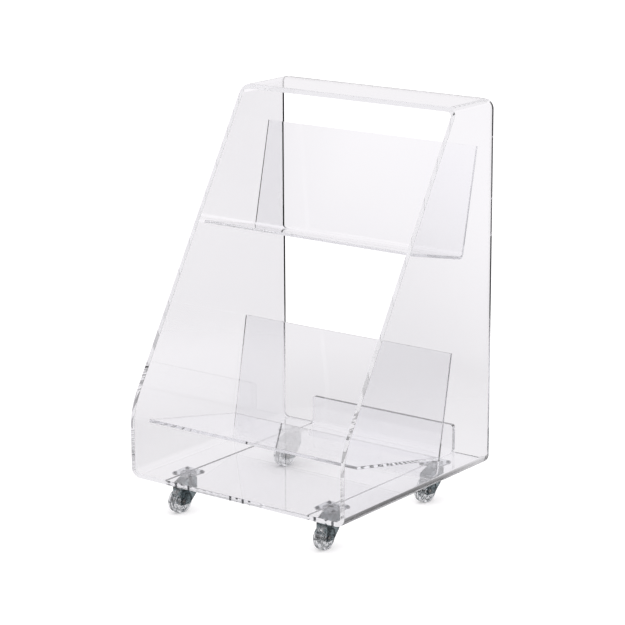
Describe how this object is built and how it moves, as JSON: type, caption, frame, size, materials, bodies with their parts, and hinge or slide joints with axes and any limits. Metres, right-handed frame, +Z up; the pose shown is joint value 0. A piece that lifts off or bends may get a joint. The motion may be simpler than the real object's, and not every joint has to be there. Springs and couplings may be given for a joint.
{
  "type": "magazine rack",
  "caption": "Rolling magazine rack of clear bent acrylic sheet: sloping sides, a leaning upper shelf and a leaning lower shelf, open behind, on swivel casters",
  "frame": {"origin": "centre of the bounding box's underside, on the surface the wheels stand on", "axes": "+Z up, +X to the right seen from the front, +Y towards the back; the sloping open front faces -Y"},
  "size_m": [0.45, 0.42, 0.698],
  "materials": {
    "acrylic": "clear cast acrylic, polished faces and edges",
    "plate_plastic": "clear polycarbonate, faintly smoky",
    "screw_steel": "zinc plated",
    "pin_steel": "bright nickel",
    "ball_steel": "polished",
    "cup_steel": "pressed and plated",
    "smoky_plastic": "smoky clear polycarbonate",
    "wheel_plastic": "clear polycarbonate",
    "bush_steel": "plain turned steel"
  },
  "bodies": {
    "rack": {"shell": "acrylic", "floor_panel": "acrylic", "upper_shelf": "acrylic", "lower_back_panel": "acrylic", "lower_ledge": "acrylic", "caster_plate_front_left": "plate_plastic", "plate_screws_front_left": "screw_steel", "kingpin_front_left": "pin_steel", "bearing_balls_front_left": "ball_steel", "bearing_cup_front_left": "cup_steel", "caster_plate_front_right": "plate_plastic", "plate_screws_front_right": "screw_steel", "kingpin_front_right": "pin_steel", "bearing_balls_front_right": "ball_steel", "bearing_cup_front_right": "cup_steel", "caster_plate_rear_left": "plate_plastic", "plate_screws_rear_left": "screw_steel", "kingpin_rear_left": "pin_steel", "bearing_balls_rear_left": "ball_steel", "bearing_cup_rear_left": "cup_steel", "caster_plate_rear_right": "plate_plastic", "plate_screws_rear_right": "screw_steel", "kingpin_rear_right": "pin_steel", "bearing_balls_rear_right": "ball_steel", "bearing_cup_rear_right": "cup_steel"},
    "swivel_front_left": {"hood_front_left": "smoky_plastic", "axle_front_left": "pin_steel", "axle_washers_front_left": "screw_steel"},
    "roller_front_left": {"wheel_front_left": "wheel_plastic", "wheel_bush_front_left": "bush_steel"},
    "swivel_front_right": {"hood_front_right": "smoky_plastic", "axle_front_right": "pin_steel", "axle_washers_front_right": "screw_steel"},
    "roller_front_right": {"wheel_front_right": "wheel_plastic", "wheel_bush_front_right": "bush_steel"},
    "swivel_rear_left": {"hood_rear_left": "smoky_plastic", "axle_rear_left": "pin_steel", "axle_washers_rear_left": "screw_steel"},
    "roller_rear_left": {"wheel_rear_left": "wheel_plastic", "wheel_bush_rear_left": "bush_steel"},
    "swivel_rear_right": {"hood_rear_right": "smoky_plastic", "axle_rear_right": "pin_steel", "axle_washers_rear_right": "screw_steel"},
    "roller_rear_right": {"wheel_rear_right": "wheel_plastic", "wheel_bush_rear_right": "bush_steel"}
  },
  "joints": [
    {"name": "swivel_front_left_turn", "type": "hinge", "parent": "rack", "child": "swivel_front_left", "pos_m": [-0.152, -0.147, 0.05], "axis": [0, 0, 1], "continuous": true},
    {"name": "wheel_front_left_roll", "type": "hinge", "parent": "swivel_front_left", "child": "roller_front_left", "pos_m": [-0.15547, -0.1667, 0.021], "axis": [0.9848, -0.1736, 0], "continuous": true},
    {"name": "swivel_front_right_turn", "type": "hinge", "parent": "rack", "child": "swivel_front_right", "pos_m": [0.152, -0.147, 0.05], "axis": [0, 0, 1], "continuous": true},
    {"name": "wheel_front_right_roll", "type": "hinge", "parent": "swivel_front_right", "child": "roller_front_right", "pos_m": [0.152, -0.167, 0.021], "axis": [1, 0, 0], "continuous": true},
    {"name": "swivel_rear_left_turn", "type": "hinge", "parent": "rack", "child": "swivel_rear_left", "pos_m": [-0.152, 0.147, 0.05], "axis": [0, 0, 1], "continuous": true},
    {"name": "wheel_rear_left_roll", "type": "hinge", "parent": "swivel_rear_left", "child": "roller_rear_left", "pos_m": [-0.15718, 0.12768, 0.021], "axis": [0.9659, -0.2588, 0], "continuous": true},
    {"name": "swivel_rear_right_turn", "type": "hinge", "parent": "rack", "child": "swivel_rear_right", "pos_m": [0.152, 0.147, 0.05], "axis": [0, 0, 1], "continuous": true},
    {"name": "wheel_rear_right_roll", "type": "hinge", "parent": "swivel_rear_right", "child": "roller_rear_right", "pos_m": [0.14922, 0.1272, 0.021], "axis": [0.9903, -0.1392, 0], "continuous": true}
  ]
}
